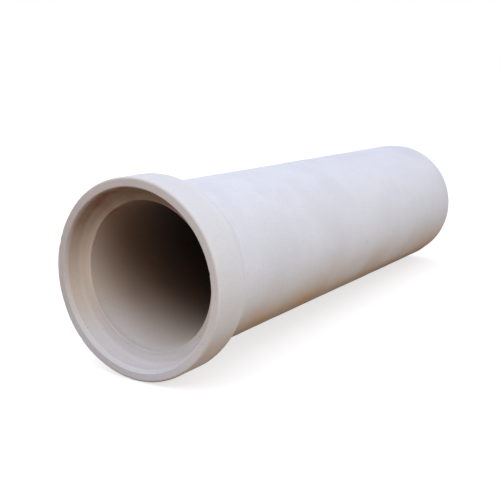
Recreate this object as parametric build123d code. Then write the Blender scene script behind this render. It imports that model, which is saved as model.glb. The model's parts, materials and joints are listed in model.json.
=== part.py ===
"""Concrete sewer pipe with a bell socket at one end and a turned-down spigot at the other.

One cast piece, revolved about its own axis and then laid down the way it comes to rest on level
ground: on the back of the bell and on the end of the barrel. Millimetres, +Z up, the mouth of the
bell toward -X.
"""
import os
from math import atan2, degrees, radians, sin, tan

from build123d import *

os.makedirs("parts", exist_ok=True)

# Barrel: the nominal bore, its wall, and the length that one pipe adds to a laid line
bore_radius = 300.0
barrel_wall = 50.0
laying_length = 2500.0

# Spigot: turned-down end that enters the socket of the next pipe
spigot_step = 7.0
spigot_length = 110.0
step_angle = 45.0
nose_length = 22.0
nose_drop = 10.0

# Socket inside the bell: room for the sealing ring, lead-in bevel and flat ledge
joint_gap = 10.0
socket_depth = 86.0
bevel_depth = 18.0
bevel_height = 11.0

# Bell outside, with a sloped shoulder whose crest and root each round off a share of the slope
bell_wall = 47.0
bell_length = 172.0
shoulder_angle = 32.0
crest_slope_share = 0.24
root_slope_share = 0.43

# Rounding of the cast edges, and the bevel of the outlet
cove_radius = 15.0
rim_edge_radius = 10.0
lip_edge_radius = 4.0
ledge_edge_radius = 7.0
nose_edge_radius = 5.0
outlet_bevel = 5.0

# Radii, each from the one it is built on
barrel_radius = bore_radius + barrel_wall
spigot_radius = barrel_radius - spigot_step
nose_radius = spigot_radius - nose_drop
outlet_radius = bore_radius + outlet_bevel
socket_radius = spigot_radius + joint_gap
rim_inner_radius = socket_radius + bevel_height
bell_radius = socket_radius + bell_wall

# Shoulder: an arc that takes a length of the slope has that length over the tangent of half the turn
slope_length = (bell_radius - barrel_radius) / sin(radians(shoulder_angle))
crest_cut = crest_slope_share * slope_length
root_cut = root_slope_share * slope_length
half_turn = radians(shoulder_angle) / 2
shoulder_crest_radius = crest_cut / tan(half_turn)
shoulder_root_radius = root_cut / tan(half_turn)

# Stations along the pipe, measured from the face of the mouth
overall_length = socket_depth + laying_length
shoulder_end = bell_length + (bell_radius - barrel_radius) / tan(radians(shoulder_angle))
barrel_end = overall_length - spigot_length
step_end = barrel_end + spigot_step / tan(radians(step_angle))
nose_start = overall_length - nose_length
outlet_start = overall_length - outlet_bevel

# Half section, station along the pipe against radius
rim_lip = (0, rim_inner_radius)
rim_edge = (0, bell_radius)
bell_back = (bell_length, bell_radius)
shoulder_foot = (shoulder_end, barrel_radius)
barrel_edge = (barrel_end, barrel_radius)
step_foot = (step_end, spigot_radius)
nose_back = (nose_start, spigot_radius)
nose_tip = (overall_length, nose_radius)
outlet_face = (overall_length, outlet_radius)
outlet_edge = (outlet_start, bore_radius)
ledge_edge = (socket_depth, bore_radius)
ledge_corner = (socket_depth, socket_radius)
bevel_foot = (bevel_depth, socket_radius)

corners = [rim_lip, rim_edge, bell_back, shoulder_foot, barrel_edge, step_foot, nose_back, nose_tip,
           outlet_face, outlet_edge, ledge_edge, ledge_corner, bevel_foot]

roundings = [
    (rim_lip, lip_edge_radius),
    (rim_edge, rim_edge_radius),
    (bell_back, shoulder_crest_radius),
    (shoulder_foot, shoulder_root_radius),
    (nose_tip, nose_edge_radius),
    (ledge_edge, ledge_edge_radius),
    (ledge_corner, cove_radius),
]

with BuildPart() as cast:
    with BuildSketch(Plane.XZ) as section:
        with BuildLine():
            Polyline(*corners, close=True)
        make_face()
        for corner, radius in roundings:
            nearest = section.vertices().sort_by_distance(Vector(*corner)).first
            fillet(nearest, radius)
    revolve(axis=Axis.X)

# The tilt at rest: the line under the back of the bell and the end of the barrel is laid level
bell_contact = bell_length - crest_cut
rest_tilt = degrees(atan2(bell_radius - barrel_radius, barrel_end - bell_contact))

tilted = Rot(0, rest_tilt, 0) * cast.part
box = tilted.bounding_box()
sewer_pipe = Pos(-box.center().X, -box.center().Y, -box.min.Z) * tilted

export_step(sewer_pipe, "parts/sewer_pipe.step")
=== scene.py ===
import json
from math import pi, radians
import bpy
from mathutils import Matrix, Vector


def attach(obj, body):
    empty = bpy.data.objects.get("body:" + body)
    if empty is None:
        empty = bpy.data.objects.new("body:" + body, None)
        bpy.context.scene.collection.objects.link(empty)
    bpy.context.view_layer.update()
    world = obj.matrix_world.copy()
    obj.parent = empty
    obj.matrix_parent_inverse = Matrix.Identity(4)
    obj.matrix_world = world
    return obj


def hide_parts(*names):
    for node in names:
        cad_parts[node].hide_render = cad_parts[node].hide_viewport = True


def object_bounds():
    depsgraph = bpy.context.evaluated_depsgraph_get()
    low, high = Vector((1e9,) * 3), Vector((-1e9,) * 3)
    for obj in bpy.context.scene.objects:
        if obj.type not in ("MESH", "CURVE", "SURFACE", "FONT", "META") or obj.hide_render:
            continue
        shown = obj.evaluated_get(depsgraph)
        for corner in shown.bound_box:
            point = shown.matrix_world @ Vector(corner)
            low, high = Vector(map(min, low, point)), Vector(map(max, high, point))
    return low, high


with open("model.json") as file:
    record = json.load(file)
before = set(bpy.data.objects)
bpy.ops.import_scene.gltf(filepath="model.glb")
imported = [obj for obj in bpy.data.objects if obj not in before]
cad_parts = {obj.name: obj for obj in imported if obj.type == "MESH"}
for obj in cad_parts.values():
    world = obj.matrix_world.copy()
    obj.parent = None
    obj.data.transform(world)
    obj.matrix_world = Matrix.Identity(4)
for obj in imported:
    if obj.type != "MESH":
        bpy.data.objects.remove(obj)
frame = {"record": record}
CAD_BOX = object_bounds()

from types import SimpleNamespace
from typing import NamedTuple

import bpy
import numpy as np
from bpy.props import FloatProperty, FloatVectorProperty, IntProperty, PointerProperty
from mathutils import Color, Euler, Vector

bl_info = {
    "name": "Concrete sewer pipe",
    "version": (1, 0, 0),
    "blender": (4, 5, 0),
    "location": "View3D > Sidebar > Sewer pipe",
    "description": "Dresses the packed sewer pipe as cast concrete and sets a pale studio stage round it",
    "category": "Object",
}

PIPE_NODE = "sewer_pipe"
PIPE_BODY = "root"
MOUNTS = {mount["name"]: mount for mount in frame["record"]["mounts"]}
PIPE_AXIS = MOUNTS["waterway"]["axis"]


def mount_radius(name):
    """Radius of a round mount, in metres."""
    return MOUNTS[name]["dims"]["r_mm"] / 1000


def station(name):
    """How far a mount lies from the mouth along the pipe, in metres."""
    return (Vector(MOUNTS[name]["pos_m"]) - Vector(MOUNTS["mouth_face"]["pos_m"])).dot(Vector(PIPE_AXIS))


def mouth_centre():
    """The point of the pipe's own axis that lies in the plane of the mouth."""
    return Vector(MOUNTS["waterway"]["pos_m"]) - Vector(PIPE_AXIS) * station("waterway")


def rest_tilt():
    """How far the spigot end dips below level, in radians."""
    axis = Vector(PIPE_AXIS)
    return axis.angle(Vector((axis.x, axis.y, 0)))


class PipeSizes(bpy.types.PropertyGroup):
    """Section of the pipe, in metres"""

    bore_radius: FloatProperty(
        name="Bore radius", description="Inside of the barrel",
        default=mount_radius("waterway"), unit="LENGTH")
    socket_radius: FloatProperty(
        name="Socket radius", description="Straight wall inside the bell", default=mount_radius("socket"),
        unit="LENGTH")
    spigot_radius: FloatProperty(
        name="Spigot radius", description="Turned-down end", default=mount_radius("spigot"), unit="LENGTH")
    barrel_radius: FloatProperty(
        name="Barrel radius", description="Outside of the barrel", default=0.350, unit="LENGTH")
    bell_radius: FloatProperty(
        name="Bell radius", description="Outside of the bell", default=0.400, unit="LENGTH")
    rim_inner_radius: FloatProperty(
        name="Rim inner radius", description="Where the lead-in bevel starts on the face of the mouth",
        default=0.364, unit="LENGTH")
    overall_length: FloatProperty(
        name="Overall length", description="From the mouth to the end of the spigot",
        default=station("spigot_face"), unit="LENGTH")
    socket_depth: FloatProperty(
        name="Socket depth", description="From the mouth to the ledge", default=station("socket_ledge"),
        unit="LENGTH")
    bevel_depth: FloatProperty(
        name="Bevel depth", description="Length of the lead-in bevel", default=0.018, unit="LENGTH")
    bell_length: FloatProperty(
        name="Bell length", description="Straight outside of the bell", default=0.172, unit="LENGTH")
    shoulder_angle: FloatProperty(
        name="Shoulder angle", description="Slope from the bell down to the barrel", default=radians(32),
        subtype="ANGLE")
    spigot_length: FloatProperty(
        name="Spigot length", description="Length of the turned-down end", default=0.110, unit="LENGTH")
    nose_length: FloatProperty(
        name="Nose length", description="Length of the spigot's taper", default=0.022, unit="LENGTH")
    nose_drop: FloatProperty(
        name="Nose drop", description="How much the spigot's taper narrows it", default=0.010, unit="LENGTH")
    outlet_bevel: FloatProperty(
        name="Outlet bevel", description="Bevel of the bore at the spigot end", default=0.005, unit="LENGTH")
    crest_rounding: FloatProperty(
        name="Crest rounding", description="Back edge of the bell", default=0.079, unit="LENGTH")
    root_rounding: FloatProperty(
        name="Root rounding", description="Hollow where the shoulder meets the barrel", default=0.1415,
        unit="LENGTH")
    cove_rounding: FloatProperty(
        name="Cove rounding", description="Corner of the socket at the ledge", default=0.015, unit="LENGTH")
    rim_rounding: FloatProperty(
        name="Rim rounding", description="Outer edge of the mouth", default=0.010, unit="LENGTH")
    ledge_rounding: FloatProperty(
        name="Ledge rounding", description="Edge where the ledge turns into the bore",
        default=0.007, unit="LENGTH")
    edge_rounding: FloatProperty(
        name="Edge rounding", description="Edges of the lip, the foot of the bevel and the nose",
        default=0.004, unit="LENGTH")
    step_rounding: FloatProperty(
        name="Step rounding", description="Edges of the spigot's step and of the outlet", default=0.003,
        unit="LENGTH")


class CastRelief(bpy.types.PropertyGroup):
    """How finely the surface is meshed and how uneven the casting is"""

    divisions: IntProperty(
        name="Divisions", description="Faces round the pipe", default=288)
    spacing: FloatProperty(
        name="Spacing", description="Longest face along the pipe", default=0.024, unit="LENGTH")
    arc_points: IntProperty(
        name="Arc points", description="Points on each rounded edge", default=7)
    sway: FloatProperty(
        name="Sway", description="Broad unevenness of the casting", default=0.0004, unit="LENGTH")
    sway_grain: FloatProperty(
        name="Sway grain", description="Width of the broad unevenness", default=0.09, unit="LENGTH")
    chip_depth: FloatProperty(
        name="Chip depth", description="Depth of the knocks along the edges", default=0.0016, unit="LENGTH")
    chip_grain: FloatProperty(
        name="Chip grain", description="Width of the knocks along the edges", default=0.012, unit="LENGTH")
    edge_reach: FloatProperty(
        name="Edge reach", description="How far wear spreads from an edge", default=0.008, unit="LENGTH")
    seed: IntProperty(
        name="Seed", description="Start of the random draws", default=7)


class ConcreteLook(bpy.types.PropertyGroup):
    """Colours of the concrete, some of them painted light and shade"""

    pale: FloatVectorProperty(
        name="Pale", description="Dry face of the casting", default=(0.80, 0.805, 0.87), subtype="COLOR")
    cloud: FloatVectorProperty(
        name="Cloud", description="Slightly darker clouds in the dry face", default=(0.75, 0.75, 0.81),
        subtype="COLOR")
    # Partly soil dust, partly painted shade and warm bounce light low on the sides
    dust_and_shade: FloatVectorProperty(
        name="Dust", description="Soil dust on the lower side", default=(0.65, 0.43, 0.25), subtype="COLOR")
    handled: FloatVectorProperty(
        name="Handled", description="Slightly soiled outside of the bell", default=(0.755, 0.735, 0.755),
        subtype="COLOR")
    # Painted light: lifts the shoulder behind the bell, which the lamps leave darker
    painted_shoulder_light: FloatVectorProperty(
        name="Bloom", description="Chalky bloom on the shoulder behind the bell", default=(0.90, 0.875, 0.92),
        subtype="COLOR")
    # Painted warm bounce light, strongest high inside the mouth and the bore, weaker on the rim
    painted_warm_bounce: FloatVectorProperty(
        name="Unwashed", description="Warmer tone of the socket and the bore", default=(0.82, 0.69, 0.58),
        subtype="COLOR")
    # Painted shade under the barrel and on the inner walls deeper in; it also darkens the rim towards its
    # upper far side
    shade_and_stain: FloatVectorProperty(
        name="Stain", description="Brown film in the socket, in the bore and under the barrel",
        default=(0.34, 0.215, 0.15), subtype="COLOR")
    # Painted shade: patchy orange-brown darkening at the crown of the socket
    painted_crown_shade: FloatVectorProperty(
        name="Rust", description="Orange-brown film at the crown of the socket", default=(0.34, 0.145, 0.075),
        subtype="COLOR")
    # Painted light: paler on the floor of the bore, low on the inner wall and on the near lower side of the
    # rim
    invert: FloatVectorProperty(
        name="Invert", description="Paler strip along the floor of the bore", default=(0.91, 0.86, 0.85),
        subtype="COLOR")
    # Painted shade: darkness deep in the bore, reaching the crown sooner than the floor
    bore: FloatVectorProperty(
        name="Bore", description="Unlit, damp concrete deep in the bore", default=(0.075, 0.058, 0.048),
        subtype="COLOR")
    # Air holes, and painted shade in the socket's corner, on the lower ledge and on its lower edge
    pit_and_shade: FloatVectorProperty(
        name="Pit", description="Small air holes and dirty corners",
        default=(0.40, 0.37, 0.36), subtype="COLOR")
    roughness: FloatProperty(
        name="Roughness", description="Roughness of the dry face", default=0.88, subtype="FACTOR")


class StageLook(bpy.types.PropertyGroup):
    """Camera, floor and light"""

    camera_place: FloatVectorProperty(
        name="Camera place", description="Where the camera stands", default=(-3.6506, -2.0260, 1.2419),
        subtype="TRANSLATION")
    camera_azimuth: FloatProperty(
        name="Camera azimuth", description="Heading, turned from +Y",
        default=radians(-57.584), subtype="ANGLE")
    camera_dip: FloatProperty(
        name="Camera dip", description="How far the camera looks down",
        default=radians(13.086), subtype="ANGLE")
    camera_lens: FloatProperty(
        name="Camera lens", description="Focal length on a 36 mm sensor", default=60.20, unit="CAMERA")
    floor_span: FloatProperty(
        name="Floor span", description="Half the width of the floor", default=60.0, unit="LENGTH")
    floor_bounce: FloatVectorProperty(
        name="Floor bounce", description="Colour that the floor throws up on the pipe",
        default=(0.20, 0.13, 0.08), subtype="COLOR")
    floor_white: FloatVectorProperty(
        name="Floor white", description="Part of the floor's white that takes light and shadow",
        default=(0.55, 0.55, 0.55), subtype="COLOR")
    floor_glow: FloatProperty(
        name="Floor glow", description="How far the white of the floor hides its shadow", default=0.66,
        subtype="FACTOR")
    sky_high: FloatVectorProperty(
        name="Sky above", description="Soft light from overhead",
        default=(0.715, 0.74, 0.90), subtype="COLOR")
    sky_low: FloatVectorProperty(
        name="Sky below", description="Soft light from near the floor", default=(0.53, 0.44, 0.34),
        subtype="COLOR")
    lamp_width: FloatProperty(
        name="Lamp width", description="Width of each soft lamp", default=6.0, unit="LENGTH")
    lamp_height: FloatProperty(
        name="Lamp height", description="Height of each soft lamp", default=4.0, unit="LENGTH")
    side_place: FloatVectorProperty(
        name="Side lamp place", description="Where the lamp beside the barrel stands",
        default=(-1.0, -6.3, 1.6), subtype="TRANSLATION")
    side_power: FloatProperty(
        name="Side lamp power", description="Power of the lamp beside the barrel",
        default=152.0, unit="POWER")
    side_colour: FloatVectorProperty(
        name="Side lamp colour", description="Colour of the lamp beside the barrel",
        default=(0.92, 1.0, 0.95), subtype="COLOR")
    front_place: FloatVectorProperty(
        name="Front lamp place", description="Where the lamp before the mouth stands",
        default=(-5.2, -1.0, 6.0), subtype="TRANSLATION")
    front_power: FloatProperty(
        name="Front lamp power", description="Power of the lamp before the mouth",
        default=125.0, unit="POWER")
    front_colour: FloatVectorProperty(
        name="Front lamp colour", description="Colour of the lamp before the mouth",
        default=(0.92, 0.98, 0.90), subtype="COLOR")
    back_place: FloatVectorProperty(
        name="Back lamp place", description="Where the lamp behind the barrel stands",
        default=(1.5, 6.0, 3.0), subtype="TRANSLATION")
    back_power: FloatProperty(
        name="Back lamp power", description="Power of the lamp behind the barrel",
        default=120.0, unit="POWER")
    back_colour: FloatVectorProperty(
        name="Back lamp colour", description="Colour of the lamp behind the barrel",
        default=(0.92, 1.0, 0.98), subtype="COLOR")


# Shape of the skin

# Short step beside each rounded edge, in metres, and the most of a short run that it may take
HOLD_STEP = 0.002
HOLD_SHARE = 1 / 4
# Rows of a random field for each width of its grain
ROWS_PER_GRAIN = 4
# Sinking of the broad unevenness: what is added to its field, then the least and the most, all in spreads
SWAY_LIFT = 1.5
SWAY_RANGE = (0.25, 3.0)
# Knocks start where their field passes the onset, and go no deeper than the limit, both in spreads
CHIP_ONSET = 1.2
CHIP_LIMIT = 2.0
# Corners of the section that take the knocks and the rubbing; inside the pipe their mark also carries painted
# shade
WORN_AND_SHADED_CORNERS = ("rim_lip", "rim_edge", "barrel_edge", "nose_tip", "ledge_edge")
# Lengths over which the colouring of the inside, mostly painted light and shade, fades in, from the outlet
# and from the mouth
OUTLET_FADE = 0.020
MOUTH_FADE = 0.006


def outline_corners(sizes):
    """Corners of the half section as (station, radius), in order round the wall, with a rounding for each."""
    shoulder_run = (sizes.bell_radius - sizes.barrel_radius) / np.tan(sizes.shoulder_angle)
    barrel_end = sizes.overall_length - sizes.spigot_length
    step = sizes.barrel_radius - sizes.spigot_radius
    end = sizes.overall_length
    edge, fine = sizes.edge_rounding, sizes.step_rounding
    table = (
        ("rim_lip", 0.0, sizes.rim_inner_radius, edge),
        ("rim_edge", 0.0, sizes.bell_radius, sizes.rim_rounding),
        ("bell_back", sizes.bell_length, sizes.bell_radius, sizes.crest_rounding),
        ("shoulder_foot", sizes.bell_length + shoulder_run, sizes.barrel_radius, sizes.root_rounding),
        ("barrel_edge", barrel_end, sizes.barrel_radius, fine),
        ("step_foot", barrel_end + step, sizes.spigot_radius, fine),
        ("nose_back", end - sizes.nose_length, sizes.spigot_radius, edge),
        ("nose_tip", end, sizes.spigot_radius - sizes.nose_drop, edge),
        ("outlet_face", end, sizes.bore_radius + sizes.outlet_bevel, fine),
        ("outlet_edge", end - sizes.outlet_bevel, sizes.bore_radius, fine),
        ("ledge_edge", sizes.socket_depth, sizes.bore_radius, sizes.ledge_rounding),
        ("ledge_corner", sizes.socket_depth, sizes.socket_radius, sizes.cove_rounding),
        ("bevel_foot", sizes.bevel_depth, sizes.socket_radius, edge),
    )
    names = [row[0] for row in table]
    return names, np.array([row[1:3] for row in table]), np.array([row[3] for row in table])


def rounded_outline(points, roundings, arc_points, spacing):
    """Closed outline through the corners, each replaced by an arc that touches both of its sides.

    At a corner with an inner angle a, an arc of radius q starts q / tan(a/2) from the corner and its
    centre lies q / sin(a/2) from it along the bisector. The arc turns from its first touching point
    to its second at an even rate. Straight runs between the arcs are cut into even steps no longer
    than spacing, with one short step at each end to hold the shading flat. Returns the outline's
    points and the row of each corner's middle.
    """
    back = np.roll(points, 1, axis=0) - points
    ahead = np.roll(points, -1, axis=0) - points
    back /= np.linalg.norm(back, axis=1, keepdims=True)
    ahead /= np.linalg.norm(ahead, axis=1, keepdims=True)
    half = np.arccos((back * ahead).sum(axis=1)) / 2
    cut = (roundings / np.tan(half))[:, None]
    bisector = (back + ahead) / np.linalg.norm(back + ahead, axis=1, keepdims=True)
    centre = points + bisector * (roundings / np.sin(half))[:, None]
    first = points + back * cut - centre
    last = points + ahead * cut - centre
    turn = (pi - 2 * half)[:, None, None]
    share = np.linspace(0, 1, arc_points)[None, :, None]
    arcs = centre[:, None, :] + (
        np.sin((1 - share) * turn) * first[:, None, :] + np.sin(share * turn) * last[:, None, :]
    ) / np.sin(turn)
    rows, middles, count = [], [], 0
    for arc, following in zip(arcs, np.roll(arcs, -1, axis=0)):
        run = following[0] - arc[-1]
        length = np.linalg.norm(run)
        hold = min(HOLD_STEP, length * HOLD_SHARE)
        steps = max(1, int(np.ceil((length - 2 * hold) / spacing)))
        along = np.linspace(hold, length - hold, steps + 1)[:, None] / length
        rows += [arc, arc[-1] + along * run]
        middles.append(count + arc_points // 2)
        count += arc_points + steps + 1
    return np.concatenate(rows), np.array(middles)


def outline_normals(outline):
    """Unit normals of the closed outline that point out of the wall: its tangent turned a quarter left."""
    tangent = np.roll(outline, -1, axis=0) - np.roll(outline, 1, axis=0)
    normal = np.stack([-tangent[:, 1], tangent[:, 0]], axis=1)
    return normal / np.linalg.norm(normal, axis=1, keepdims=True)


def nearness(travel, length, stops, reach):
    """1 at the stops on a closed outline of that length, falling off as exp(-(gap / reach)^2) both ways."""
    gap = np.abs(travel[:, None] - np.array(stops)[None, :])
    gap = np.minimum(gap, length - gap).min(axis=1)
    return np.exp(-((gap / reach) ** 2))


def cloudy_field(draw, length, girth, grain, columns):
    """Smooth random field over a sheet of length by girth, closed both ways, with unit spread.

    White noise is turned into waves, each wave is weakened by exp(-(pi * grain * k)^2 / 2) for its
    wave number k, and the waves are summed again.
    """
    rows = int(np.ceil(length / grain * ROWS_PER_GRAIN))
    white = np.fft.rfft2(draw.standard_normal((rows, columns)))
    along = np.fft.fftfreq(rows, length / rows)[:, None]
    across = np.fft.rfftfreq(columns, girth / columns)[None, :]
    weaker = np.exp(-((pi * grain) ** 2) * (along ** 2 + across ** 2) / 2)
    field = np.fft.irfft2(white * weaker, (rows, columns))
    return field / field.std()


def field_along(field, places):
    """Rows of a closed field at places from 0 to 1 along it, mixed evenly between neighbours."""
    at = places * len(field)
    low = np.floor(at).astype(int)
    mix = (at - low)[:, None]
    return field[low % len(field)] * (1 - mix) + field[(low + 1) % len(field)] * mix


def closed_grid_faces(rows, columns):
    """Quads of a grid that closes on itself both ways, four vertex numbers each, facing out of the wall."""
    row = np.arange(rows)[:, None]
    column = np.arange(columns)[None, :]
    next_row, next_column = (row + 1) % rows, (column + 1) % columns
    corners = (next_row * columns + column, next_row * columns + next_column,
               row * columns + next_column, row * columns + column)
    return np.stack([np.broadcast_to(c, (rows, columns)) for c in corners], axis=-1).reshape(-1, 4)


def mesh_from_grid(name, places, faces, marks):
    """Smooth mesh from an array of places and of quads, with a float attribute for each array of marks."""
    mesh = bpy.data.meshes.new(name)
    mesh.vertices.add(len(places))
    mesh.vertices.foreach_set("co", places.astype(np.float32).ravel())
    mesh.loops.add(faces.size)
    mesh.loops.foreach_set("vertex_index", faces.astype(np.int32).ravel())
    mesh.polygons.add(len(faces))
    mesh.polygons.foreach_set("loop_start", np.arange(0, faces.size, faces.shape[1], dtype=np.int32))
    mesh.polygons.foreach_set("use_smooth", np.ones(len(faces), dtype=bool))
    for mark, values in marks.items():
        layer = mesh.attributes.new(mark, "FLOAT", "POINT")
        layer.data.foreach_set("value", values.astype(np.float32).ravel())
    mesh.update(calc_edges=True)
    if mesh.validate():
        raise RuntimeError(f"{name} has broken faces")
    return mesh


def outline_marks(sizes, normal, travel, length, stops):
    """What each row of the outline is, for the material, as one array for each kind of place.

    Hollow is 1 on the inside of the pipe. Flank and facing are the parts of the normal that point away
    from the axis and out of the mouth, and facing splits into the rim outside and the ledge inside.
    Deep is the distance into the bore from its nearer end. Crease is 1 in the socket's corner and falls
    off as exp(-(gap / rounding)^2).
    """
    outlet, ledge, cove = stops["outlet_edge"], stops["ledge_edge"], stops["ledge_corner"]
    hollow = np.clip((travel - outlet) / OUTLET_FADE, 0, 1) * np.clip((length - travel) / MOUTH_FADE, 0, 1)
    facing = np.clip(-normal[:, 0], 0, 1)
    return {
        "hollow": hollow,
        "flank": np.clip(normal[:, 1], 0, 1),
        "deep": np.clip(np.minimum(travel - outlet, ledge - travel), 0, None),
        "rim": facing * (1 - hollow),
        "ledge": facing * hollow * (travel < cove + sizes.cove_rounding),
        "crease": np.exp(-((travel - cove) / sizes.cove_rounding) ** 2),
    }


def pipe_mesh(sizes, relief):
    """The pipe's whole skin as a function of the place on the outline and the angle round the axis.

    A point of the outline at station s and radius r stands, at angle v, at the mouth's centre plus s
    along the axis plus r times (cos v up + sin v across). It first sinks along the outline's normal
    by a broad unevenness, and near the cast edges by small knocks where a finer field runs high.
    """
    names, points, roundings = outline_corners(sizes)
    outline, middles = rounded_outline(points, roundings, relief.arc_points, relief.spacing)
    normal = outline_normals(outline)
    steps = np.linalg.norm(np.roll(outline, -1, axis=0) - outline, axis=1)
    length = steps.sum()
    travel = np.concatenate([[0], np.cumsum(steps)[:-1]])
    stops = dict(zip(names, travel[middles]))
    girth = 2 * pi * sizes.barrel_radius

    draw = np.random.default_rng(relief.seed)
    sway_field = cloudy_field(draw, length, girth, relief.sway_grain, relief.divisions)
    chip_field = cloudy_field(draw, length, girth, relief.chip_grain, relief.divisions)
    broad = field_along(sway_field, travel / length)
    knocks = field_along(chip_field, travel / length)
    edge = nearness(travel, length, [stops[name] for name in WORN_AND_SHADED_CORNERS], relief.edge_reach)
    chip = np.clip(knocks - CHIP_ONSET, 0, CHIP_LIMIT) * edge[:, None]
    sink = relief.sway * np.clip(broad + SWAY_LIFT, *SWAY_RANGE) + relief.chip_depth * chip

    along = outline[:, 0, None] - normal[:, 0, None] * sink
    radius = outline[:, 1, None] - normal[:, 1, None] * sink
    angle = np.linspace(0, 2 * pi, relief.divisions, endpoint=False)[None, :]
    axis = np.array(PIPE_AXIS)
    across = np.array((0.0, 1.0, 0.0))
    up = np.cross(axis, across)
    places = (np.array(mouth_centre()) + along[..., None] * axis
              + (radius * np.cos(angle))[..., None] * up + (radius * np.sin(angle))[..., None] * across)

    rows = {"edge": edge, **outline_marks(sizes, normal, travel, length, stops)}
    marks = {name: np.broadcast_to(values[:, None], chip.shape) for name, values in rows.items()}
    marks["chip"] = chip
    return mesh_from_grid("concrete_pipe", places.reshape(-1, 3), closed_grid_faces(*chip.shape), marks)


# Concrete


class Grain(NamedTuple):
    """Scale of a noise, in waves for each metre, how many finer waves it has and how strong they are."""

    scale: float
    detail: float
    rough: float


class Coat(NamedTuple):
    """Where a coat of colour starts, where it is full, and its share of the colour there."""

    starts: float
    full: float
    share: float = 1.0


# Noises, how far the drags and the drifts are drawn out along the pipe, and where most of a noise lies
CLOUDS = Grain(2.6, 4.0, 0.55)
BLOTCHES = Grain(11.0, 5.0, 0.60)
SAND = Grain(240.0, 3.0, 0.65)
DRAGS = Grain(22.0, 3.0, 0.55)
DRIFTS = Grain(5.0, 1.0, 0.50)
DRAWN_OUT = (0.08, 1.0, 1.0)
NOISE_RANGE = (0.30, 0.70)

# Air holes: cells to a metre, share of the cells that stay whole, widest hole and its soft wall in cells
HOLE_CELLS = 46.0
WHOLE_CELLS = 0.75
WIDEST_HOLE = 0.14
HOLE_WALL = Coat(0.0, 0.06)
HOLE_SHARE = 0.75

# Coats of the dry face, by their noise
CLOUD_COAT = Coat(0.42, 0.66)
BLOTCH_COAT = Coat(0.45, 0.72, 0.35)
DRAG_COAT = Coat(0.45, 0.70, 0.20)
SAND_SHADE = (0.90, 1.06)

# Coats of the bell and its shoulder, in lengths of the bell from the mouth; the shoulder's coat is painted
# light
BELL_END = Coat(1.25, 0.60)
HANDLED_SHARE = 0.80
SHOULDER_LIGHT_START = Coat(0.90, 1.20, 0.65)
SHOULDER_LIGHT_END = Coat(1.70, 1.30)

# Coats of the lower side, by metres above the pipe's axis: dust with painted shade and warm bounce light,
# made patchy by noises, and painted contact shade under the barrel
DUST_AND_SHADE_COAT = Coat(0.02, -0.33, 0.90)
DUST_DRIFTS = Coat(0.20, 0.80)
DUST_CLOUDS = Coat(0.10, 0.90)
BELL_DUST_LOSS = 0.55
UNDERSIDE_PAINTED_SHADE = Coat(-0.19, -0.28, 0.50)

# Coats of the mouth, by height except where the name says otherwise; slant mixes the place across with
# height. They paint warm bounce light higher up, light low on the wall and on the near lower rim, and shade
# on the low ledge
PAINTED_BOUNCE_BY_HEIGHT = Coat(-0.36, -0.06, 0.80)
PAINTED_BOUNCE_LEAST = 0.10
RIM_PAINTED_BOUNCE = 0.40
LOW_WALL_PAINTED_LIGHT = Coat(-0.12, -0.32, 0.32)
SLANT_ACROSS = 0.8
SLANT_HEIGHT = 0.6
FAR_RIM_BY_SLANT = Coat(-0.22, 0.30, 0.18)
NEAR_RIM_LIGHT_BY_ACROSS = Coat(-0.12, -0.32, 0.55)
NEAR_RIM_LIGHT_HEIGHT = Coat(0.14, -0.06)
LOW_LEDGE_PAINTED_SHADE = Coat(0.05, -0.20, 0.20)

# Coats of the bore, mostly painted light and shade: depths are metres from its nearer end, reach and dimness
# mix depth and height
LIT_FLOOR_STRIP_HEIGHT = Coat(-0.14, -0.29)
LIT_FLOOR_STRIP_DEPTH = Coat(0.0, 0.05)
BORE_DUST_AND_SHADE_DEPTH = Coat(0.0, 0.25, 0.35)
REACH_BY_DEPTH = 1.05
SHADE_FILM_BY_REACH = Coat(-0.12, 0.40)
SHADE_FILM_LEDGE_LOSS = 0.45
CROWN_HEIGHT = Coat(0.12, 0.31)
CROWN_DEPTH = Coat(0.20, 0.0)
CROWN_BLOTCHES = Coat(0.35, 0.65)
CROWN_LEAST = 0.35
CROWN_LEDGE_LOSS = 0.75
DIMNESS_BY_HEIGHT = 0.9
DIM_COAT = Coat(0.10, 0.74)

# Painted shade in the socket's corner and on the lower inner edges, and wear on the outer edges
CREASE_SHADE_SHARE = 0.22
NOSING_SHADE_HEIGHT = Coat(0.0, -0.22, 0.28)
WORN_SHARE = 0.20

# Fine relief: weight of each pattern in it, its strength, its depth in metres and the spread of roughness
SAND_RELIEF = 0.45
BLOTCH_RELIEF = 0.60
HOLE_RELIEF = 1.60
CHIP_RELIEF = 2.0
RELIEF_STRENGTH = 0.55
RELIEF_DEPTH = 0.0015
ROUGHNESS_SPREAD = 0.06

# Sockets of the Mix node for colours
MIX_SHARE, MIX_BASE, MIX_TONE, MIX_RESULT = 0, 6, 7, 2


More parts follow.
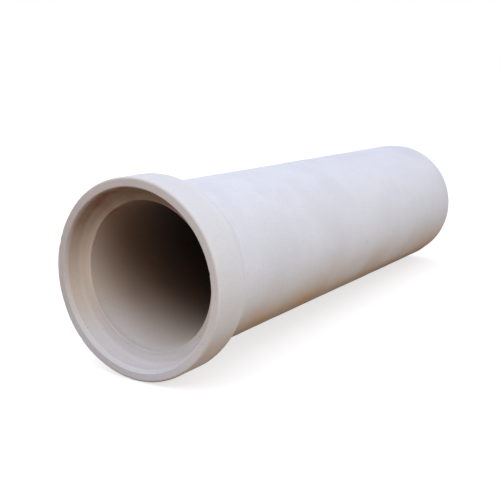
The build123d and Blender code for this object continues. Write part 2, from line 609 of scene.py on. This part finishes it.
class NodeBench:
    """Empties the tree of a material or a world, adds nodes to it and hands back their sockets."""

    def __init__(self, owner):
        owner.use_nodes = True
        self.tree = owner.node_tree
        self.tree.nodes.clear()

    def add(self, kind, settings=None, feeds=None):
        """A new node with its settings, fed at each named socket by another socket or by a plain value."""
        made = self.tree.nodes.new(kind)
        for name, value in (settings or {}).items():
            setattr(made, name, value)
        for name, source in (feeds or {}).items():
            if isinstance(source, bpy.types.NodeSocket):
                self.tree.links.new(source, made.inputs[name])
            elif isinstance(source, Color):
                made.inputs[name].default_value = (*source, 1.0)
            else:
                made.inputs[name].default_value = source
        return made

    def mark(self, name):
        """An attribute of the mesh."""
        return self.add("ShaderNodeAttribute", {"attribute_name": name}).outputs["Fac"]

    def noise(self, vector, grain):
        """A noise of that grain, mostly between 0.3 and 0.7."""
        feeds = {"Vector": vector, "Scale": grain.scale, "Detail": grain.detail, "Roughness": grain.rough}
        return self.add("ShaderNodeTexNoise", None, feeds).outputs["Fac"]

    def math(self, operation, first, second):
        """One operation on two values."""
        return self.add("ShaderNodeMath", {"operation": operation}, {0: first, 1: second}).outputs["Value"]

    def plus(self, first, second):
        """The first value with the second added."""
        return self.math("ADD", first, second)

    def minus(self, first, second):
        """The first value less the second."""
        return self.math("SUBTRACT", first, second)

    def times(self, first, *others):
        """The product of all the values."""
        for other in others:
            first = self.math("MULTIPLY", first, other)
        return first

    def spread(self, value, measured, wanted):
        """A value carried evenly from its measured range to the wanted one."""
        feeds = {"Value": value, "From Min": measured[0], "From Max": measured[1],
                 "To Min": wanted[0], "To Max": wanted[1]}
        return self.add("ShaderNodeMapRange", None, feeds).outputs["Result"]

    def coat(self, value, coat, *within):
        """Share of a coat: eased from its start to its full, along a value, and kept within the masks."""
        feeds = {"Value": value, "From Min": coat.starts, "From Max": coat.full, "To Max": coat.share}
        eased = self.add("ShaderNodeMapRange", {"interpolation_type": "SMOOTHSTEP"}, feeds)
        return self.times(eased.outputs["Result"], *within)

    def tint(self, base, tone, share, blend="MIX"):
        """A base colour with a share of a tone in it."""
        settings = {"data_type": "RGBA", "blend_type": blend}
        feeds = {MIX_SHARE: share, MIX_BASE: base, MIX_TONE: tone}
        return self.add("ShaderNodeMix", settings, feeds).outputs[MIX_RESULT]

    def seen_directly(self):
        """1 where a camera, gloss or glass looks at the surface, and 0 for the light that it throws."""
        path = self.add("ShaderNodeLightPath").outputs
        seen = self.math("MAXIMUM", path["Is Camera Ray"], path["Is Glossy Ray"])
        return self.math("MAXIMUM", seen, path["Is Transmission Ray"])


def air_holes(bench, local):
    """1 inside the small round holes: in the higher-numbered cells, a ball round the cell's own point."""
    cells = bench.add("ShaderNodeTexVoronoi", {"feature": "F1"}, {"Vector": local, "Scale": HOLE_CELLS})
    number = bench.add("ShaderNodeSeparateColor", None, {"Color": cells.outputs["Color"]}).outputs["Red"]
    size = bench.spread(number, (WHOLE_CELLS, 1.0), (0.0, WIDEST_HOLE))
    return bench.coat(bench.minus(size, cells.outputs["Distance"]), HOLE_WALL)


def pipe_skin(bench, sizes):
    """Sockets that the coats share: places along, across and above the axis, marks of the mesh and noises."""
    place = bench.add("ShaderNodeTexCoord").outputs["Object"]
    local = bench.add(
        "ShaderNodeMapping", {"vector_type": "TEXTURE"},
        {"Vector": place, "Location": mouth_centre(), "Rotation": (0.0, rest_tilt(), 0.0)}).outputs["Vector"]
    drawn_out = bench.add("ShaderNodeMapping", None, {"Vector": local, "Scale": DRAWN_OUT}).outputs["Vector"]
    along, across, height = bench.add("ShaderNodeSeparateXYZ", None, {"Vector": local}).outputs
    marks = ("edge", "chip", "hollow", "flank", "deep", "rim", "ledge", "crease")
    skin = SimpleNamespace(**{name: bench.mark(name) for name in marks})
    skin.across, skin.height = across, height
    skin.bell_lengths = bench.math("DIVIDE", along, sizes.bell_length)
    skin.clouds = bench.noise(local, CLOUDS)
    skin.blotches = bench.noise(local, BLOTCHES)
    skin.sand = bench.noise(local, SAND)
    skin.drags = bench.noise(drawn_out, DRAGS)
    skin.drifts = bench.noise(drawn_out, DRIFTS)
    skin.holes = air_holes(bench, local)
    return skin


def outside_colour(bench, skin, look):
    """Dry cast face with clouds and drag marks, a soiled bell, painted light on the shoulder, dust with
    painted shade low down and painted contact shade under the barrel.
    """
    colour = bench.tint(look.pale, look.cloud, bench.coat(skin.clouds, CLOUD_COAT))
    colour = bench.tint(colour, look.cloud, bench.coat(skin.blotches, BLOTCH_COAT))
    colour = bench.tint(colour, look.cloud, bench.coat(skin.drags, DRAG_COAT))

    bell = bench.coat(skin.bell_lengths, BELL_END, skin.flank)
    colour = bench.tint(colour, look.handled, bench.times(bell, HANDLED_SHARE))
    # Painted light on the shoulder behind the bell
    shoulder = bench.coat(skin.bell_lengths, SHOULDER_LIGHT_END, skin.flank)
    colour = bench.tint(colour, look.painted_shoulder_light, bench.coat(skin.bell_lengths, SHOULDER_LIGHT_START, shoulder))

    # Dust with painted shade and warm bounce light, growing towards the bottom of the flank
    patches = bench.plus(bench.coat(skin.drifts, DUST_DRIFTS), bench.coat(skin.clouds, DUST_CLOUDS))
    kept = bench.minus(1.0, bench.times(bell, BELL_DUST_LOSS))
    colour = bench.tint(colour, look.dust_and_shade, bench.coat(skin.height, DUST_AND_SHADE_COAT, skin.flank, kept, patches))
    # Painted contact shade along the bottom of the barrel
    barrel = bench.minus(skin.flank, bell)
    return bench.tint(colour, look.shade_and_stain, bench.coat(skin.height, UNDERSIDE_PAINTED_SHADE, barrel))


def mouth_colour(bench, skin, look, colour):
    """Painted warm bounce light higher up, painted light low on the wall and on the near lower rim, painted
    shade on the low ledge, and darker towards the rim's upper far side.
    """
    # Painted warm bounce light, growing with height, inside the pipe and partly on the rim
    warm_bounce_share = bench.plus(bench.coat(skin.height, PAINTED_BOUNCE_BY_HEIGHT), PAINTED_BOUNCE_LEAST)
    mouth = bench.math("MAXIMUM", skin.hollow, bench.times(skin.rim, RIM_PAINTED_BOUNCE))
    colour = bench.tint(colour, look.painted_warm_bounce, bench.times(mouth, warm_bounce_share))
    # Painted light low on the inner wall
    colour = bench.tint(colour, look.invert, bench.coat(skin.height, LOW_WALL_PAINTED_LIGHT, skin.hollow))

    # Darker towards the upper far side of the rim
    slant = bench.plus(bench.times(skin.across, SLANT_ACROSS), bench.times(skin.height, SLANT_HEIGHT))
    colour = bench.tint(colour, look.shade_and_stain, bench.coat(slant, FAR_RIM_BY_SLANT, skin.rim))
    # Painted light on the near lower side of the rim
    lit_low_rim = bench.coat(skin.height, NEAR_RIM_LIGHT_HEIGHT, skin.rim)
    colour = bench.tint(colour, look.invert, bench.coat(skin.across, NEAR_RIM_LIGHT_BY_ACROSS, lit_low_rim))
    # Painted shade on the lower part of the ledge
    return bench.tint(colour, look.pit_and_shade, bench.coat(skin.height, LOW_LEDGE_PAINTED_SHADE, skin.ledge))


def bore_colour(bench, skin, look, colour):
    """Painted light along the floor, dust and painted brown shade further in, painted shade at the crown, and
    painted shade dimming the bore deep in.
    """
    # Painted light along the floor of the bore
    strip = bench.coat(skin.deep, LIT_FLOOR_STRIP_DEPTH)
    colour = bench.tint(colour, look.invert, bench.coat(skin.height, LIT_FLOOR_STRIP_HEIGHT, strip))
    # Dust with painted shade, browner deeper into the bore
    colour = bench.tint(colour, look.dust_and_shade, bench.coat(skin.deep, BORE_DUST_AND_SHADE_DEPTH))

    # Painted brown shade on the inner wall, coming lower with depth, less on the ledge
    reach = bench.plus(skin.height, bench.times(skin.deep, REACH_BY_DEPTH))
    shade_filmed = bench.minus(skin.hollow, bench.times(skin.ledge, SHADE_FILM_LEDGE_LOSS))
    colour = bench.tint(colour, look.shade_and_stain, bench.coat(reach, SHADE_FILM_BY_REACH, shade_filmed))

    # Painted shade at the crown of the socket and the near bore, made patchy by blotches
    patches = bench.plus(bench.coat(skin.blotches, CROWN_BLOTCHES), CROWN_LEAST)
    crown_shaded = bench.minus(skin.hollow, bench.times(skin.ledge, CROWN_LEDGE_LOSS))
    shallow = bench.coat(skin.deep, CROWN_DEPTH, skin.hollow)
    colour = bench.tint(colour, look.painted_crown_shade, bench.coat(skin.height, CROWN_HEIGHT, shallow, patches, crown_shaded))

    # Painted shade that dims the bore with depth, sooner at the crown
    dimness = bench.plus(skin.deep, bench.times(skin.height, DIMNESS_BY_HEIGHT))
    return bench.tint(colour, look.bore, bench.coat(dimness, DIM_COAT, skin.hollow))


def wear_and_shade_colour(bench, skin, look, colour):
    """Painted shade in the socket's corner and on its lower inner edges, rubbed outer edges, sand grain and
    air holes.
    """
    # Painted shade in the socket's corner and along the lower inner edges
    colour = bench.tint(colour, look.pit_and_shade, bench.times(skin.crease, CREASE_SHADE_SHARE))
    colour = bench.tint(colour, look.pit_and_shade, bench.coat(skin.height, NOSING_SHADE_HEIGHT, skin.edge, skin.hollow))
    outer_edge = bench.times(skin.edge, bench.minus(skin.flank, skin.hollow))
    colour = bench.tint(colour, look.pale, bench.times(outer_edge, WORN_SHARE))
    shade = bench.spread(skin.sand, NOISE_RANGE, SAND_SHADE)
    grey = bench.add("ShaderNodeCombineColor", None, {"Red": shade, "Green": shade, "Blue": shade})
    colour = bench.tint(colour, grey.outputs["Color"], 1.0, "MULTIPLY")
    return bench.tint(colour, look.pit_and_shade, bench.times(skin.holes, HOLE_SHARE))


def fine_relief(bench, skin):
    """Normal of the surface with sand grain and blotches raised, air holes sunk, and knocks left rough."""
    raised = bench.plus(bench.times(skin.sand, SAND_RELIEF), bench.times(skin.blotches, BLOTCH_RELIEF))
    raised = bench.minus(raised, bench.times(skin.holes, HOLE_RELIEF))
    raised = bench.plus(raised, bench.times(skin.chip, skin.sand, CHIP_RELIEF))
    feeds = {"Height": raised, "Strength": RELIEF_STRENGTH, "Distance": RELIEF_DEPTH}
    return bench.add("ShaderNodeBump", None, feeds).outputs["Normal"]


def concrete_material(look, sizes):
    """Dry cast concrete: clouds, drag marks, sand grain and air holes, with dust and painted shade below,
    painted light and shade in the mouth, and painted shade dimming the bore.
    """
    material = bpy.data.materials.new("cast_concrete")
    bench = NodeBench(material)
    skin = pipe_skin(bench, sizes)
    colour = outside_colour(bench, skin, look)
    colour = mouth_colour(bench, skin, look, colour)
    colour = bore_colour(bench, skin, look, colour)
    colour = wear_and_shade_colour(bench, skin, look, colour)
    rougher = (look.roughness - ROUGHNESS_SPREAD, look.roughness + ROUGHNESS_SPREAD)
    surface = bench.add("ShaderNodeBsdfPrincipled", None, {
        "Base Color": colour,
        "Metallic": 0.0,
        "Roughness": bench.spread(skin.blotches, NOISE_RANGE, rougher),
        "Normal": fine_relief(bench, skin),
    })
    bench.add("ShaderNodeOutputMaterial", None, {"Surface": surface.outputs["BSDF"]})
    return material


# Stage

# How steeply a direction rises where the low sky ends and where the high sky is full
SKY_RISE = Coat(0.0, 0.8)


def floor_material(look):
    """White to the camera, with the pipe's soft shadow, and a warm bounce of light to everything else."""
    material = bpy.data.materials.new("pale_floor")
    bench = NodeBench(material)
    bounce = bench.add("ShaderNodeBsdfDiffuse", None, {"Color": look.floor_bounce}).outputs["BSDF"]
    white = bench.add("ShaderNodeBsdfDiffuse", None, {"Color": look.floor_white}).outputs["BSDF"]
    glow = bench.add("ShaderNodeEmission", None, {"Strength": look.floor_glow}).outputs["Emission"]
    seen = bench.add("ShaderNodeAddShader", None, {0: white, 1: glow}).outputs["Shader"]
    shown = bench.add("ShaderNodeMixShader", None, {0: bench.seen_directly(), 1: bounce, 2: seen})
    bench.add("ShaderNodeOutputMaterial", None, {"Surface": shown.outputs["Shader"]})
    return material


def light_world(look):
    """Soft light that is brighter overhead, and plain white where a camera, gloss or glass looks at it."""
    world = bpy.data.worlds.new("soft_sky")
    bench = NodeBench(world)
    direction = bench.add("ShaderNodeTexCoord").outputs["Generated"]
    rise = bench.add("ShaderNodeSeparateXYZ", None, {"Vector": direction}).outputs["Z"]
    shade = bench.tint(look.sky_low, look.sky_high, bench.coat(rise, SKY_RISE))
    light = bench.add("ShaderNodeBackground", None, {"Color": shade}).outputs["Background"]
    white = bench.add("ShaderNodeBackground", None, {"Color": (1.0, 1.0, 1.0, 1.0)}).outputs["Background"]
    shown = bench.add("ShaderNodeMixShader", None, {0: bench.seen_directly(), 1: light, 2: white})
    bench.add("ShaderNodeOutputWorld", None, {"Surface": shown.outputs["Shader"]})
    bpy.context.scene.world = world


def soft_lamp(name, look, place, aim, power, colour):
    """Large area lamp at a place, turned to its aim."""
    lamp = bpy.data.lights.new(name, "AREA")
    lamp.shape = "RECTANGLE"
    lamp.size, lamp.size_y = look.lamp_width, look.lamp_height
    lamp.energy, lamp.color = power, colour
    stand = bpy.data.objects.new(name, lamp)
    stand.location = place
    stand.rotation_euler = (Vector(aim) - Vector(place)).to_track_quat("-Z", "Y").to_euler()
    bpy.context.scene.collection.objects.link(stand)


# Operators and panel


class SEWERPIPE_OT_cast_pipe(bpy.types.Operator):
    """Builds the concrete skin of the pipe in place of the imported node"""

    bl_idname = "sewer_pipe.cast_pipe"
    bl_label = "Cast the pipe"

    def execute(self, context):
        sizes, look = context.scene.pipe_sizes, context.scene.concrete_look
        piece = bpy.data.objects.new("concrete_pipe", pipe_mesh(sizes, context.scene.cast_relief))
        piece.data.materials.append(concrete_material(look, sizes))
        context.scene.collection.objects.link(piece)
        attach(piece, PIPE_BODY)
        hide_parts(PIPE_NODE)
        return {"FINISHED"}


class SEWERPIPE_OT_set_stage(bpy.types.Operator):
    """Lays the floor, lights the scene and sets up the camera"""

    bl_idname = "sewer_pipe.set_stage"
    bl_label = "Set the stage"

    def execute(self, context):
        scene, look = context.scene, context.scene.stage_look
        span = look.floor_span
        corners = np.array([(-span, -span, 0), (span, -span, 0), (span, span, 0), (-span, span, 0)], float)
        floor = bpy.data.objects.new("floor", mesh_from_grid("floor", corners, np.array([[0, 1, 2, 3]]), {}))
        floor.data.materials.append(floor_material(look))
        scene.collection.objects.link(floor)

        light_world(look)
        middle = (0.0, 0.0, CAD_BOX[1][2] / 2)
        soft_lamp("side_lamp", look, look.side_place, middle, look.side_power, look.side_colour)
        soft_lamp("front_lamp", look, look.front_place, mouth_centre(), look.front_power, look.front_colour)
        soft_lamp("back_lamp", look, look.back_place, middle, look.back_power, look.back_colour)
        scene.view_settings.view_transform = "Standard"

        camera = bpy.data.objects.new("camera", bpy.data.cameras.new("camera"))
        camera.location = look.camera_place
        camera.rotation_euler = Euler((pi / 2 - look.camera_dip, 0.0, look.camera_azimuth))
        camera.data.lens = look.camera_lens
        scene.collection.objects.link(camera)
        scene.camera = camera
        return {"FINISHED"}


class SEWERPIPE_PT_sidebar(bpy.types.Panel):
    """Sizes, colours and steps of the sewer pipe"""

    bl_label = "Sewer pipe"
    bl_idname = "SEWERPIPE_PT_sidebar"
    bl_space_type = "VIEW_3D"
    bl_region_type = "UI"
    bl_category = "Sewer pipe"

    def draw(self, context):
        for group in SETTINGS:
            box = self.layout.box()
            settings = getattr(context.scene, group)
            for name in settings.__annotations__:
                box.prop(settings, name)
        for step in STEPS:
            self.layout.operator(step.bl_idname)


SETTINGS = {
    "pipe_sizes": PipeSizes,
    "cast_relief": CastRelief,
    "concrete_look": ConcreteLook,
    "stage_look": StageLook,
}
STEPS = (SEWERPIPE_OT_cast_pipe, SEWERPIPE_OT_set_stage)


def register():
    for name, group in SETTINGS.items():
        bpy.utils.register_class(group)
        setattr(bpy.types.Scene, name, PointerProperty(type=group))
    for step in STEPS:
        bpy.utils.register_class(step)
    bpy.utils.register_class(SEWERPIPE_PT_sidebar)


def unregister():
    bpy.utils.unregister_class(SEWERPIPE_PT_sidebar)
    for step in reversed(STEPS):
        bpy.utils.unregister_class(step)
    for name, group in reversed(SETTINGS.items()):
        delattr(bpy.types.Scene, name)
        bpy.utils.unregister_class(group)


def main():
    register()
    bpy.ops.sewer_pipe.cast_pipe()
    bpy.ops.sewer_pipe.set_stage()
    bpy.context.view_layer.update()


if __name__ == "__main__":
    main()
